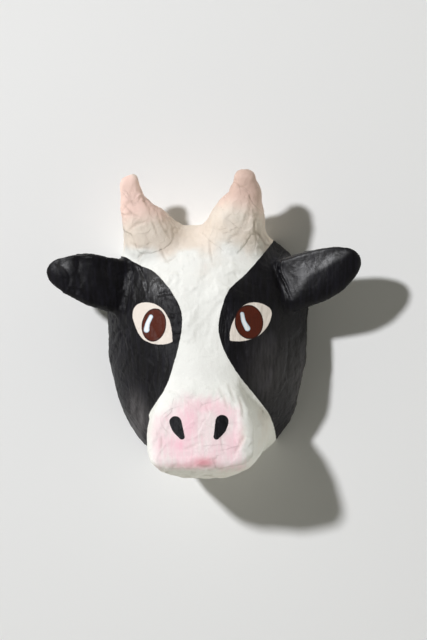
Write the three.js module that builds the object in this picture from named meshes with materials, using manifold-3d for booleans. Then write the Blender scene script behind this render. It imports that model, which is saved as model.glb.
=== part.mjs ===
// A papier-mache cow's head: one hollow shell of pasted paper, open at the back, with a muzzle,
// two horns and two ears grown out of it as one skin. It lies on the flat edge of its open back,
// face up.
//
// Millimetres. +Z is out of the face, +Y is towards the horns, and +X is to the right of someone
// who looks at the face. Every form is first laid out about the middle of the cheeks, on the plane
// of the open back. The finished head is then moved so that the origin is under the middle of its
// box. Left and right are the viewer's. The head is hand-made, so its sides differ a little.
import * as THREE from 'three';
import { LoftGeometry } from 'three/addons/geometries/LoftGeometry.js';
import { mergeVertices } from 'three/addons/utils/BufferGeometryUtils.js';
import Module from 'manifold-3d';

// The pasted paper wall
const WALL = 4;

// The head: an egg-shaped edge on the open back, domed up to a crown
const HEAD_HALF_WIDTH = 124;
const HEAD_RISE = 94; // from the widest line up to the top of the edge
const HEAD_DROP = 206; // from the widest line down to the chin's edge
const HEAD_RISE_FULLNESS = 2.1; // superellipse exponents: 2 is an ellipse, more is boxier
const HEAD_DROP_FULLNESS = 2.55;
const DOME_FULLNESS = 2.15;
const FOREHEAD_DEPTH = 104; // crown height at the horns' line
const BRIDGE_DEPTH = 132; // crown height at the muzzle
const BRIDGE_FROM = 70; // where the crown starts to climb, above the widest line
const BRIDGE_TO = -110; // and where it is full

// The muzzle: a rounded box that leans a little to the left, with a slanting front
const MUZZLE_ABOVE_CHIN = 57; // from the chin's edge up to the muzzle's widest line
const MUZZLE_CENTRE_Y = MUZZLE_ABOVE_CHIN - HEAD_DROP;
const MUZZLE_FOOT_X = 7;
const MUZZLE_FOOT_Z = 26;
const MUZZLE_FOOT_HALF_WIDTH = 74;
const MUZZLE_FOOT_DROP = 52;
const MUZZLE_FACE_X = -7.5;
const MUZZLE_FACE_HALF_WIDTH = 60;
const MUZZLE_FACE_DROP = 41;
const MUZZLE_RISE = 105; // from its widest line up to where it meets the bridge
const MUZZLE_PROUD = 45; // how far the lip stands out over the bridge
const MUZZLE_SLANT = 0.47; // how much the front falls for each unit towards the forehead
const MUZZLE_EDGE = 14; // rounding of the front's edge
const MUZZLE_TOP_ROUNDING = 0.9; // the share of the front that is rounded where it meets the bridge
const MUZZLE_DOME = 5; // how far the front swells
const MUZZLE_RISE_FULLNESS = 1.35;
const MUZZLE_FOOT_FULLNESS = 1.9;
const MUZZLE_FACE_FULLNESS = 5.2;
const CHIN_HOLD = 3; // the chin keeps its foot's size until close to the lip
const BOX_HOLD = 2; // and its corners their foot's roundness
const CHIN_SWELL = 7; // how far the chin bulges between the two

// The horns: paper cones. Each stops in a blunt tip, and its foot spreads into the forehead.
// A root is given as shares of the head's half width, rise and forehead depth, and a line from
// its root as shares of how far the horn or ear reaches
const LEFT_HORN_REACH = 94; // upwards
const LEFT_HORN_FOOT_RADIUS = 39;
const LEFT_HORN_TIP_RADIUS = 11;
const RIGHT_HORN_REACH = 99;
const RIGHT_HORN_FOOT_RADIUS = 42;
const RIGHT_HORN_TIP_RADIUS = 11.5;
const HORNS = [
	{
		root: [ - 0.484, 0.532, 0.308 ],
		line: [ [ - 0.138, 0.351, 0.309 ], [ - 0.298, 0.66, 0.489 ], [ - 0.367, 1, 0.628 ] ],
		reach: LEFT_HORN_REACH,
		footRadius: LEFT_HORN_FOOT_RADIUS,
		tipRadius: LEFT_HORN_TIP_RADIUS,
		taper: 1.7 // how quickly the foot narrows
	},
	{
		root: [ 0.234, 0.532, 0.308 ],
		line: [ [ 0.056, 0.384, 0.364 ], [ 0.131, 0.687, 0.596 ], [ 0.152, 1, 0.758 ] ],
		reach: RIGHT_HORN_REACH,
		footRadius: RIGHT_HORN_FOOT_RADIUS,
		tipRadius: RIGHT_HORN_TIP_RADIUS,
		taper: 1.1
	}
];
const HORN_FULLNESS = 2.6; // superellipse exponent of their sections, a little flattened in front

// The ears: leaves whose front is a flat face above a fold and a round roll below it. The fold runs
// from one level at the root to another at the tip, between the lower edge (-1) and the upper (1)
const LEFT_EAR_REACH = 101; // sideways
const LEFT_EAR_HALF_WIDTH = 32;
const RIGHT_EAR_REACH = 94;
const RIGHT_EAR_HALF_WIDTH = 33;
const EARS = [
	{
		root: [ - 0.71, 0.128, 0.5 ],
		line: [ [ - 0.317, 0.059, 0.208 ], [ - 0.673, 0.149, 0.297 ], [ - 1, 0.208, 0.337 ] ],
		reach: LEFT_EAR_REACH,
		halfWidth: LEFT_EAR_HALF_WIDTH,
		foldFrom: 0.1,
		foldTo: 0.3
	},
	{
		root: [ 0.677, 0.138, 0.635 ],
		line: [ [ 0.298, 0.096, 0.149 ], [ 0.638, 0.213, 0.223 ], [ 1, 0.372, 0.277 ] ],
		reach: RIGHT_EAR_REACH,
		halfWidth: RIGHT_EAR_HALF_WIDTH,
		foldFrom: - 0.65,
		foldTo: 0.75
	}
];
const EAR_ROLL = 13; // how far the front stands out of the leaf's middle plane
const EAR_BACK = 10; // how far the back bulges
const EAR_SCOOP = 1.5; // how deep the flat face is hollowed
const EAR_RIM = 0.86; // where the face turns over to its upper edge, as a share of its width
const EAR_TILT = 0.12; // radians that the leaf turns its face up
const EAR_LEAF = 2.8; // how late the leaf narrows
const EAR_FULLNESS = 2.5; // superellipse exponent of its back
const EAR_THINNING = 0.6; // how fast it thins as it narrows

// The hand-made unevenness of the skin
const LUMP_HEIGHT = 1.3;
const LUMP_LENGTH = 62;

// How finely each form is faceted, the outside more than the hollow
const HEAD_FACETS = { around: 64, steps: 15 };
const HOLLOW_FACETS = { around: 44, steps: 10 };
const MUZZLE_FACETS = { around: 44, wallSteps: 6, faceSteps: 8 };
const MUZZLE_HOLLOW_FACETS = { around: 32, wallSteps: 4, faceSteps: 5 };
const HORN_FACETS = { around: 22, steps: 10 };
const HORN_TIP_RISES = [ 0.35, 0.65, 0.85, 0.97 ]; // sections of the domed tip, as shares of its radius
const EAR_FACETS = { around: 32, steps: 12 };
const EDGE_CROWDING = 1.6; // above 1, sections of a front lie closer at its edge
const TIP_CROWDING = 1.4; // and those of an ear closer at its tip
const CAP_SHARE = 0.06; // the last section, as a share of the first
const BELOW_BACK = 8; // how far forms run past the plane of the open back before it is cut

const SKIN_COLOUR = '#e9e6df';

const wasm = await Module();
wasm.setup();

const mix = THREE.MathUtils.lerp;

// A signed power, which turns a circle's cosine or sine into a superellipse's.
function swell( value, fullness ) {

	return Math.sign( value ) * Math.abs( value ) ** ( 2 / fullness );

}

// One egg-shaped outline's point: its upper and lower halves have their own size and fullness.
function eggPoint( angle, egg ) {

	const upper = Math.sin( angle ) >= 0;
	const fullness = upper ? egg.riseFullness : egg.dropFullness;
	return {
		x: egg.halfWidth * swell( Math.cos( angle ), fullness ),
		y: ( upper ? egg.rise : egg.drop ) * swell( Math.sin( angle ), fullness )
	};

}

function anglesAround( count ) {

	return Array.from( { length: count }, ( _, i ) => 2 * Math.PI * i / count );

}

function stepsOf( count ) {

	return Array.from( { length: count + 1 }, ( _, i ) => i / count );

}

// The crown's height over the back: it climbs from the forehead to the bridge of the nose.
function crownHeight( y ) {

	const climb = THREE.MathUtils.smoothstep( - y, - BRIDGE_FROM, - BRIDGE_TO );
	return mix( FOREHEAD_DEPTH, BRIDGE_DEPTH, climb );

}

// The head's dome, smaller all round by an inset. Sections run from the edge to the crown.
function headSections( inset, { around, steps } ) {

	const egg = {
		halfWidth: HEAD_HALF_WIDTH - inset,
		rise: HEAD_RISE - inset,
		drop: HEAD_DROP - inset,
		riseFullness: HEAD_RISE_FULLNESS,
		dropFullness: HEAD_DROP_FULLNESS
	};
	const section = ( share, height, sink ) => anglesAround( around ).map( ( angle ) => {

		const { x, y } = eggPoint( angle, egg );
		const lift = height * ( crownHeight( share * y ) - inset );
		return new THREE.Vector3( share * x, share * y, lift - sink );

	} );
	const dome = stepsOf( steps ).map( ( step ) => {

		const turn = step * Math.PI / 2;
		const share = Math.max( CAP_SHARE, swell( Math.cos( turn ), DOME_FULLNESS ) );
		return section( share, swell( Math.sin( turn ), DOME_FULLNESS ), 0 );

	} );
	return [ section( 1, 0, BELOW_BACK + inset ), ...dome ];

}

// The height of the muzzle's slanting front over the back.
function muzzleFront( y ) {

	const lip = MUZZLE_CENTRE_Y - MUZZLE_FACE_DROP;
	return BRIDGE_DEPTH + MUZZLE_PROUD - MUZZLE_SLANT * ( y - lip );

}

// The muzzle: walls from its foot in the head up to the front's edge, then over the rounded edge
// to the middle of the front.
function muzzleSections( inset, { around, wallSteps, faceSteps } ) {

	const egg = ( climb ) => ( {
		halfWidth: mix( MUZZLE_FOOT_HALF_WIDTH, MUZZLE_FACE_HALF_WIDTH, climb ) - inset,
		rise: MUZZLE_RISE - inset,
		drop: mix( MUZZLE_FOOT_DROP, MUZZLE_FACE_DROP, climb ** CHIN_HOLD )
			+ CHIN_SWELL * Math.sin( Math.PI * climb ) - inset,
		riseFullness: MUZZLE_RISE_FULLNESS,
		dropFullness: mix( MUZZLE_FOOT_FULLNESS, MUZZLE_FACE_FULLNESS, climb ** BOX_HOLD )
	} );
	const section = ( climb, share, heightAt ) => anglesAround( around ).map( ( angle ) => {

		const point = eggPoint( angle, egg( climb ) );
		const x = mix( MUZZLE_FOOT_X, MUZZLE_FACE_X, climb ) + share * point.x;
		const y = MUZZLE_CENTRE_Y + share * point.y;
		return new THREE.Vector3( x, y, heightAt( y ) );

	} );
	const faceHeight = ( share ) => ( y ) => {

		const top = THREE.MathUtils.smoothstep( y, MUZZLE_CENTRE_Y, MUZZLE_CENTRE_Y + MUZZLE_RISE );
		const edge = mix( MUZZLE_EDGE / MUZZLE_FACE_HALF_WIDTH, MUZZLE_TOP_ROUNDING, top );
		const round = Math.max( 0, ( share - 1 + edge ) / edge );
		const fall = MUZZLE_EDGE * ( 1 - Math.sqrt( Math.max( 0, 1 - round * round ) ) );
		return muzzleFront( y ) + MUZZLE_DOME * ( 1 - share * share ) - fall - inset;

	};
	const walls = stepsOf( wallSteps ).map( ( climb ) => {

		return section( climb, 1, ( y ) => mix( MUZZLE_FOOT_Z, faceHeight( 1 )( y ), climb ) );

	} );
	const face = stepsOf( faceSteps ).slice( 1 ).map( ( step ) => {

		const share = mix( 1, CAP_SHARE, step ** EDGE_CROWDING );
		return section( 1, share, faceHeight( share ) );

	} );
	return [ ...walls, ...face ];

}

// Two directions square to a curve at a share of its length: `across` lies in the plane of the
// back, turned by a tilt about the curve, and `out` is square to both.
function directionsAt( curve, share, tilt ) {

	const along = curve.getTangentAt( share );
	const across = new THREE.Vector3( - along.y, along.x, 0 ).normalize();
	across.applyAxisAngle( along, tilt );
	const out = new THREE.Vector3().crossVectors( along, across ).normalize();
	return { along, across, out };

}

// A smooth curve from a root on the head through the points of its line.
function curveFrom( { root, line, reach } ) {

	const [ across, up, out ] = root;
	const start = new THREE.Vector3( across * HEAD_HALF_WIDTH, up * HEAD_RISE, out * FOREHEAD_DEPTH );
	const rest = line.map( ( share ) => {

		return new THREE.Vector3( ...share ).multiplyScalar( reach ).add( start );

	} );
	return new THREE.CatmullRomCurve3( [ start, ...rest ] );

}

// A horn: rounded sections along its line, which narrow from a wide foot, and a domed tip.
function hornSections( horn ) {

	const curve = curveFrom( horn );
	const length = curve.getLength();
	const tipShare = 1 - horn.tipRadius / length;
	const ring = ( share, radius ) => {

		const centre = curve.getPointAt( share );
		const { across, out } = directionsAt( curve, share, 0 );
		return anglesAround( HORN_FACETS.around ).map( ( angle ) => centre.clone()
			.addScaledVector( across, radius * swell( Math.cos( angle ), HORN_FULLNESS ) )
			.addScaledVector( out, radius * swell( Math.sin( angle ), HORN_FULLNESS ) ) );

	};
	const cone = stepsOf( HORN_FACETS.steps ).map( ( step ) => {

		const spread = Math.cos( step * Math.PI / 2 ) ** horn.taper;
		return ring( step * tipShare, mix( horn.tipRadius, horn.footRadius, spread ) );

	} );
	const tip = HORN_TIP_RISES.map( ( rise ) => {

		const radius = horn.tipRadius * Math.sqrt( 1 - rise * rise );
		return ring( mix( tipShare, 1, rise ), radius );

	} );
	return [ ...cone, ...tip ];

}

// How far an ear's front stands out at a level: a quarter circle below the fold, and above it a flat
// face with a slight hollow and a steep edge.
function earFront( level, fold ) {

	const below = THREE.MathUtils.clamp( ( fold - level ) / ( fold + 1 ), 0, 1 );
	const above = THREE.MathUtils.clamp( ( level - fold ) / ( 1 - fold ), 0, 1 );
	const pastRim = Math.max( 0, ( above - EAR_RIM ) / ( 1 - EAR_RIM ) );
	const hollow = EAR_SCOOP * Math.sin( Math.PI * Math.min( 1, above / EAR_RIM ) );
	return EAR_ROLL * Math.sqrt( 1 - below * below ) * ( 1 - pastRim * pastRim ) - hollow;

}

// An ear: leaf sections along its line.
function earSections( ear ) {

	const curve = curveFrom( ear );
	const side = Math.sign( ear.root[ 0 ] );
	return stepsOf( EAR_FACETS.steps ).map( ( step ) => {

		const share = 1 - ( 1 - step ) ** TIP_CROWDING;
		const leaf = Math.max( CAP_SHARE, Math.sqrt( 1 - share ** EAR_LEAF ) );
		const { across, out } = directionsAt( curve, share, - side * EAR_TILT );
		across.multiplyScalar( side );
		if ( out.z < 0 ) out.negate();
		const centre = curve.getPointAt( share );
		const fold = mix( ear.foldFrom, ear.foldTo, share );
		const points = anglesAround( EAR_FACETS.around ).map( ( angle ) => {

			const level = Math.cos( angle );
			const bulge = Math.abs( swell( Math.sin( angle ), EAR_FULLNESS ) );
			const depth = Math.sin( angle ) >= 0 ? earFront( level, fold ) : - EAR_BACK * bulge;
			return centre.clone()
				.addScaledVector( across, ear.halfWidth * leaf * level )
				.addScaledVector( out, depth * leaf ** EAR_THINNING );

		} );
		return side > 0 ? points : points.reverse();

	} );

}

// Merges a geometry's shared vertices. Only their positions are kept.
function weld( geometry ) {

	const plain = new THREE.BufferGeometry();
	plain.setAttribute( 'position', geometry.getAttribute( 'position' ) );
	plain.setIndex( geometry.index );
	return mergeVertices( plain, 1e-3 );

}

function toSolid( geometry ) {

	const welded = weld( geometry );
	const faces = new Uint32Array( welded.index.array );
	const solid = new wasm.Manifold( new wasm.Mesh( {
		numProp: 3,
		vertProperties: welded.attributes.position.array,
		triVerts: faces
	} ) );
	if ( solid.volume() > 0 ) return solid;
	for ( let i = 0; i < faces.length; i += 3 ) {

		[ faces[ i ], faces[ i + 1 ] ] = [ faces[ i + 1 ], faces[ i ] ];

	}

	return new wasm.Manifold( new wasm.Mesh( {
		numProp: 3,
		vertProperties: welded.attributes.position.array,
		triVerts: faces
	} ) );

}

function toGeometry( solid ) {

	const mesh = solid.getMesh();
	const geometry = new THREE.BufferGeometry();
	geometry.setAttribute( 'position', new THREE.BufferAttribute( mesh.vertProperties, 3 ) );
	geometry.setIndex( new THREE.BufferAttribute( mesh.triVerts, 1 ) );
	return geometry;

}

function loftSolid( sections ) {

	return toSolid( new LoftGeometry( sections, { capStart: true, capEnd: true } ) );

}

// Three crossing waves: the slow rise and fall of a skin laid on by hand.
function unevenness( x, y, z ) {

	const turn = 2 * Math.PI / LUMP_LENGTH;
	const waves = Math.sin( turn * ( x + 0.6 * y ) )
		+ Math.sin( turn * ( 0.8 * y - 0.5 * z ) + 1.3 )
		+ Math.sin( turn * ( 0.7 * z - 0.9 * x ) + 2.1 );
	return LUMP_HEIGHT * waves / 3;

}

// Moves each point of a solid along its normal by the unevenness there.
function roughen( solid ) {

	const geometry = mergeVertices( toGeometry( solid ), 1e-3 );
	geometry.computeVertexNormals();
	const position = geometry.attributes.position;
	const normal = geometry.attributes.normal;
	for ( let i = 0; i < position.count; i ++ ) {

		const point = new THREE.Vector3().fromBufferAttribute( position, i );
		const push = unevenness( point.x, point.y, point.z );
		point.addScaledVector( new THREE.Vector3().fromBufferAttribute( normal, i ), push );
		position.setXYZ( i, point.x, point.y, point.z );

	}

	return toSolid( geometry );

}

// Everything below the plane of the open back, as a block to cut with.
function blockBelowBack() {

	const reach = 4 * HEAD_DROP;
	const block = new THREE.BoxGeometry( reach, reach, reach );
	block.translate( 0, 0, - reach / 2 );
	return toSolid( block );

}

function buildHead() {

	const outside = [
		loftSolid( headSections( 0, HEAD_FACETS ) ),
		loftSolid( muzzleSections( 0, MUZZLE_FACETS ) ),
		...HORNS.map( ( horn ) => loftSolid( hornSections( horn ) ) ),
		...EARS.map( ( ear ) => loftSolid( earSections( ear ) ) )
	].reduce( ( whole, form ) => whole.add( form ) );
	const inside = loftSolid( headSections( WALL, HOLLOW_FACETS ) )
		.add( loftSolid( muzzleSections( WALL, MUZZLE_HOLLOW_FACETS ) ) );
	const shell = roughen( outside ).subtract( inside ).subtract( blockBelowBack() );

	const geometry = toGeometry( shell );
	geometry.computeBoundingBox();
	const middle = geometry.boundingBox.getCenter( new THREE.Vector3() );
	geometry.translate( - middle.x, - middle.y, 0 );
	const paint = new THREE.MeshStandardMaterial( { color: SKIN_COLOUR, roughness: 0.6, metalness: 0 } );
	const head = new THREE.Mesh( geometry, paint );
	head.name = 'cow_head';
	return head;

}

const cow = new THREE.Group();
cow.add( buildHead() );

export default cow;
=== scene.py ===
"""A papier-mache cow's head, lying face up on the flat edge of its open back.

The skin is worked out in millimetres about the middle of the cheeks, with +Z out of the face, +Y
towards the horns and +X to the viewer's right, and is moved into the part's frame, in metres, at
the end. Paint outlines are given on the paint plan: the plane of the open back, as seen from the
viewing point above it, in the same millimetres.
"""

import logging
import math
from dataclasses import dataclass, field
from enum import Enum
from typing import Any

import bpy
import numpy as np
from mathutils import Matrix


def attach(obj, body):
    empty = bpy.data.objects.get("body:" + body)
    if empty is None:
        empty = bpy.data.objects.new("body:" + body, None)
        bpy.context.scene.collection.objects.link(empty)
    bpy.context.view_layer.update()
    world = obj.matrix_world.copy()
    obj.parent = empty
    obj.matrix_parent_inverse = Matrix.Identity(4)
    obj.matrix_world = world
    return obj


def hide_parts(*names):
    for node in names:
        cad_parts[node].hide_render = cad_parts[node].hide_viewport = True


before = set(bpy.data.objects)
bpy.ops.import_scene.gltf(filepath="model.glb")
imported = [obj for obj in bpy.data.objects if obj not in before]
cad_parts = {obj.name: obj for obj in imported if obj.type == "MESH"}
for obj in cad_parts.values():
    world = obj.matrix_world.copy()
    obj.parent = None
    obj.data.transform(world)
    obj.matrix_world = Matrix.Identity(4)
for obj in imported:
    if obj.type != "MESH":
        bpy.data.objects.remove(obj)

import openvdb
from mathutils import Vector
from numpy.typing import NDArray

log = logging.getLogger("cow_head")

Array = NDArray[np.float64]
Point = tuple[float, float, float]
Flat = tuple[float, float]
Span = tuple[float, float]
Colour = tuple[float, float, float, float]

MM = 0.001
CHEEKS = (5.235, 28.228)  # the cheeks' middle in the part's frame, mm
EYE_POINT = (6.8, -24.9, 1500.0)  # the viewing point, about the cheeks' middle, mm
LENS = 67.84
SENSOR = 36.0
FINE = 1.8  # mm, the voxels of the outside
COARSE = 4.0  # mm, the voxels of the hollow
REACH = 24.0  # mm of distance kept on each side of a form
HORN_REACH = 8.0  # mm off a horn over which what is on it fades
EAR_REACH = 6.0  # and off an ear
BLOCK = 1000.0  # mm, the block that cuts the skin off flat at the open back
SEED = 11


# Numbers and curves


def lerp(low: Array | float, high: Array | float, share: Array | float) -> Array:
    """The value that lies a share of the way from low to high."""
    return low + (high - low) * share


def smoothstep(low: float, high: float, value: Array) -> Array:
    """Rises smoothly from 0 at low to 1 at high: 3 t squared less 2 t cubed."""
    t = np.clip((value - low) / (high - low), 0.0, 1.0)
    return t * t * (3.0 - 2.0 * t)


def touching(distance: Array, reach: float) -> Array:
    """How much a point lies on a form: 1 just inside its skin, and 0 at a reach outside it."""
    return smoothstep(reach, -1.0, distance)


def swell(value: Array, fullness: float) -> Array:
    """A signed power that turns a circle's cosine or sine into a superellipse's."""
    return np.sign(value) * np.abs(value) ** (2.0 / fullness)


def angles_around(count: int) -> Array:
    """Evenly spread angles of a full turn."""
    return 2.0 * np.pi * np.arange(count) / count


def smooth_curve(points: list[tuple[float, ...]], count: int, closed: bool = False) -> Array:
    """Evenly spaced points on a smooth curve through a few points.

    Each stretch is a centripetal Catmull-Rom curve: a blend of its neighbours that is weighted by
    the fourth root of their squared distances. An open curve is extended by mirroring its ends.

    Args:
        points: The points to pass through.
        count: How many points to give back.
        closed: Whether the curve returns to its start.

    Returns:
        The points, evenly spaced by length.
    """
    p = np.array(points, float)
    if closed:
        p = np.vstack([p[-1], p, p[0], p[1]])
    else:
        p = np.vstack([2 * p[0] - p[1], p, 2 * p[-1] - p[-2]])
    knots = np.r_[0.0, np.cumsum(np.linalg.norm(np.diff(p, axis=0), axis=1) ** 0.5)]
    stretches = []
    t = np.linspace(0.0, 1.0, 24, endpoint=False)[:, None]
    for k in range(1, len(p) - 2):
        k0, k1, k2, k3 = knots[k - 1:k + 3]
        at = k1 + (k2 - k1) * t
        a1 = ((k1 - at) * p[k - 1] + (at - k0) * p[k]) / (k1 - k0)
        a2 = ((k2 - at) * p[k] + (at - k1) * p[k + 1]) / (k2 - k1)
        a3 = ((k3 - at) * p[k + 1] + (at - k2) * p[k + 2]) / (k3 - k2)
        b1 = ((k2 - at) * a1 + (at - k0) * a2) / (k2 - k0)
        b2 = ((k3 - at) * a2 + (at - k1) * a3) / (k3 - k1)
        stretches.append(((k2 - at) * b1 + (at - k1) * b2) / (k2 - k1))
    fine = np.vstack([*stretches, p[-2]])
    length = np.r_[0.0, np.cumsum(np.linalg.norm(np.diff(fine, axis=0), axis=1))]
    wanted = np.linspace(0.0, length[-1], count, endpoint=not closed)
    return np.stack([np.interp(wanted, length, column) for column in fine.T], axis=1)


def gradient_noise(points: Array, length: float, seed: int) -> Array:
    """Soft random waves, about -1 to 1.

    A cubic lattice of the given length has a random slope at each corner. A point's value blends
    the eight slopes around it with a fifth-order fade.

    Args:
        points: Where to read the noise, one row each.
        length: The lattice's spacing.
        seed: Which noise.

    Returns:
        One value for each point.
    """
    rng = np.random.default_rng(seed)
    slopes = rng.normal(size=(1024, 3))
    slopes /= np.linalg.norm(slopes, axis=1)[:, None]
    at = points / length
    cell = np.floor(at).astype(np.int64)
    inside = at - cell
    fade = inside ** 3 * (inside * (inside * 6.0 - 15.0) + 10.0)
    total = np.zeros(len(points))
    for corner in np.ndindex(2, 2, 2):
        place = cell + corner
        key = (place[:, 0] * 73856093) ^ (place[:, 1] * 19349663) ^ (place[:, 2] * 83492791)
        slope = slopes[key & 1023]
        weight = np.prod(np.where(corner, fade, 1.0 - fade), axis=1)
        total += weight * np.einsum("ij,ij->i", slope, inside - corner)
    return 1.6 * total


def distance_to_line(points: Array, line: Array) -> tuple[Array, Array]:
    """The distance to a chain of straight stretches, and the share of its length there.

    Args:
        points: Flat points.
        line: The chain's flat points.

    Returns:
        Each point's distance, and how far along the chain its nearest place is, from 0 to 1.
    """
    best = np.full(len(points), np.inf)
    share = np.zeros(len(points))
    for k, (start, end) in enumerate(zip(line[:-1], line[1:])):
        way = end - start
        along = np.clip((points - start) @ way / max(way @ way, 1e-9), 0.0, 1.0)
        gap = np.linalg.norm(points - start - along[:, None] * way, axis=1)
        nearer = gap < best
        best = np.where(nearer, gap, best)
        share = np.where(nearer, (k + along) / (len(line) - 1), share)
    return best, share


def distance_to_outline(points: Array, outline: Array) -> Array:
    """The distance to a closed outline, positive inside it.

    A point is inside where a line from it crosses the outline an odd number of times.

    Args:
        points: Flat points.
        outline: The outline's flat points, in order.

    Returns:
        One distance for each point.
    """
    closed = np.vstack([outline, outline[0]])
    gap, _ = distance_to_line(points, closed)
    inside = np.zeros(len(points), bool)
    x, y = points[:, 0], points[:, 1]
    for (ax, ay), (bx, by) in zip(closed[:-1], closed[1:]):
        if ay == by:
            continue
        crosses = ((ay > y) != (by > y)) & (x < (bx - ax) * (y - ay) / (by - ay) + ax)
        inside ^= crosses
    return np.where(inside, gap, -gap)


# Forms: each is a closed skin of sections, and its distance field is kept on one grid


@dataclass(frozen=True)
class Grid:
    """The block of space that holds the head, as voxels about the cheeks' middle, in mm."""

    voxel: float = FINE
    low: Point = (-200.0, -226.0, -20.0)
    high: Point = (204.0, 170.0, 196.0)

    @property
    def start(self) -> tuple[int, ...]:
        """The lowest voxel's place."""
        return tuple(int(math.floor(x / self.voxel)) for x in self.low)

    @property
    def shape(self) -> tuple[int, ...]:
        """How many voxels there are each way."""
        return tuple(int(math.ceil((b - a) / self.voxel)) for a, b in zip(self.low, self.high))

    def distances(self, sections: Array) -> Array:
        """The signed distance to a form on every voxel, negative inside it.

        Args:
            sections: The form's rings of points, one row each, first to last.

        Returns:
            The distances in millimetres, no further than the band.
        """
        rows, around, _ = sections.shape
        points = np.vstack([sections.reshape(-1, 3), sections[0].mean(0), sections[-1].mean(0)])
        row, turn = np.meshgrid(np.arange(rows - 1), np.arange(around), indexing="ij")
        a = (row * around + turn).ravel()
        b = (row * around + (turn + 1) % around).ravel()
        walls = np.vstack([np.c_[a, b, b + around], np.c_[a, b + around, a + around]])
        first = np.arange(around)
        last = first + (rows - 1) * around
        turned = (first + 1) % around
        caps = np.vstack([
            np.c_[turned, first, np.full(around, rows * around)],
            np.c_[last, turned + (rows - 1) * around, np.full(around, rows * around + 1)],
        ])
        level_set = openvdb.FloatGrid.createLevelSetFromPolygons(
            points.astype(np.float32),
            triangles=np.vstack([walls, caps]).astype(np.uint32),
            transform=openvdb.createLinearTransform(voxelSize=self.voxel),
            halfWidth=REACH / self.voxel,
        )
        dense = np.zeros(self.shape, np.float32)
        level_set.copyToArray(dense, ijk=self.start)
        return dense

    def skin(self, distances: Array) -> tuple[Array, Array]:
        """The surface where a distance field is zero.

        Args:
            distances: The field.

        Returns:
            The surface's points and its four-sided faces.
        """
        volume = openvdb.FloatGrid()
        volume.copyFromArray(np.ascontiguousarray(distances, np.float32), ijk=self.start)
        points, quads = volume.convertToQuads(0.0)
        return points.astype(float) * self.voxel, quads.astype(np.int64)

    def read(self, distances: Array, points: Array) -> Array:
        """A field's value at any points, blended from the eight voxels around each.

        Args:
            distances: The field.
            points: Where to read it.

        Returns:
            One value for each point.
        """
        at = points / self.voxel - np.array(self.start)
        at = np.clip(at, 0.0, np.array(self.shape) - 1.001)
        cell = at.astype(int)
        share = at - cell
        total = np.zeros(len(points))
        for corner in np.ndindex(2, 2, 2):
            i, j, k = (cell + corner).T
            total += np.prod(np.where(corner, share, 1.0 - share), axis=1) * distances[i, j, k]
        return total


def merge(first: Array, second: Array, blend: Array | float) -> Array:
    """Joins two distance fields, with a fillet where they meet.

    The nearer one holds. Where the two differ by less than the blend, a quarter of the blend times
    the squared share of what is left is taken off.
    """
    near = np.maximum(blend - np.abs(first - second), 0.0) / blend
    return np.minimum(first, second) - near * near * blend / 4.0


def nearest(near: dict[str, Array], kind: str) -> Array:
    """The distance to the nearer of the two horns or of the two ears."""
    return np.minimum(near[f"left_{kind}"], near[f"right_{kind}"])


@dataclass
class Head:
    """The dome of the head, on its egg-shaped edge."""

    half_width: float = 124.0
    rise: float = 94.0
    drop: float = 206.0
    rise_fullness: float = 2.1
    drop_fullness: float = 2.55
    dome_fullness: float = 2.15  # 2 is round, and more is boxier
    forehead_depth: float = 104.0
    bridge_depth: float = 132.0
    bridge_from: float = 70.0
    bridge_to: float = -110.0
    below_back: float = 8.0
    last_ring: float = 0.02  # the ring at the crown, as a share of the first

    def crown(self, y: Array) -> Array:
        """The crown's height: it climbs smoothly from the forehead to the bridge of the nose."""
        climb = smoothstep(-self.bridge_from, -self.bridge_to, -y)
        return lerp(self.forehead_depth, self.bridge_depth, climb)

    def sections(self, inset: float, around: int, steps: int) -> Array:
        """Rings from the edge to the crown.

        A ring is a superellipse with its own rise and drop. Its size and its height are the cosine
        and sine of a quarter turn, both swollen, and the height is that of the crown there.

        Args:
            inset: How far inside the skin the rings lie.
            around: How many points a ring has.
            steps: How many steps there are up to the crown.

        Returns:
            The rings' points.
        """
        angle = angles_around(around)[None, :]
        turn = np.linspace(0.0, np.pi / 2.0, steps + 1)[:, None]
        size = np.maximum(swell(np.cos(turn), self.dome_fullness), self.last_ring)
        size = np.vstack([[[1.0]], size])
        lift = np.vstack([[[0.0]], swell(np.sin(turn), self.dome_fullness)])
        upper = np.sin(angle) >= 0.0
        fullness = np.where(upper, self.rise_fullness, self.drop_fullness)
        reach = np.where(upper, self.rise, self.drop) - inset
        x = size * (self.half_width - inset) * swell(np.cos(angle), fullness)
        y = size * reach * swell(np.sin(angle), fullness)
        z = lift * (self.crown(y) - inset)
        z[0] -= self.below_back + inset
        return np.stack([x, y, z], axis=-1)


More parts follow.
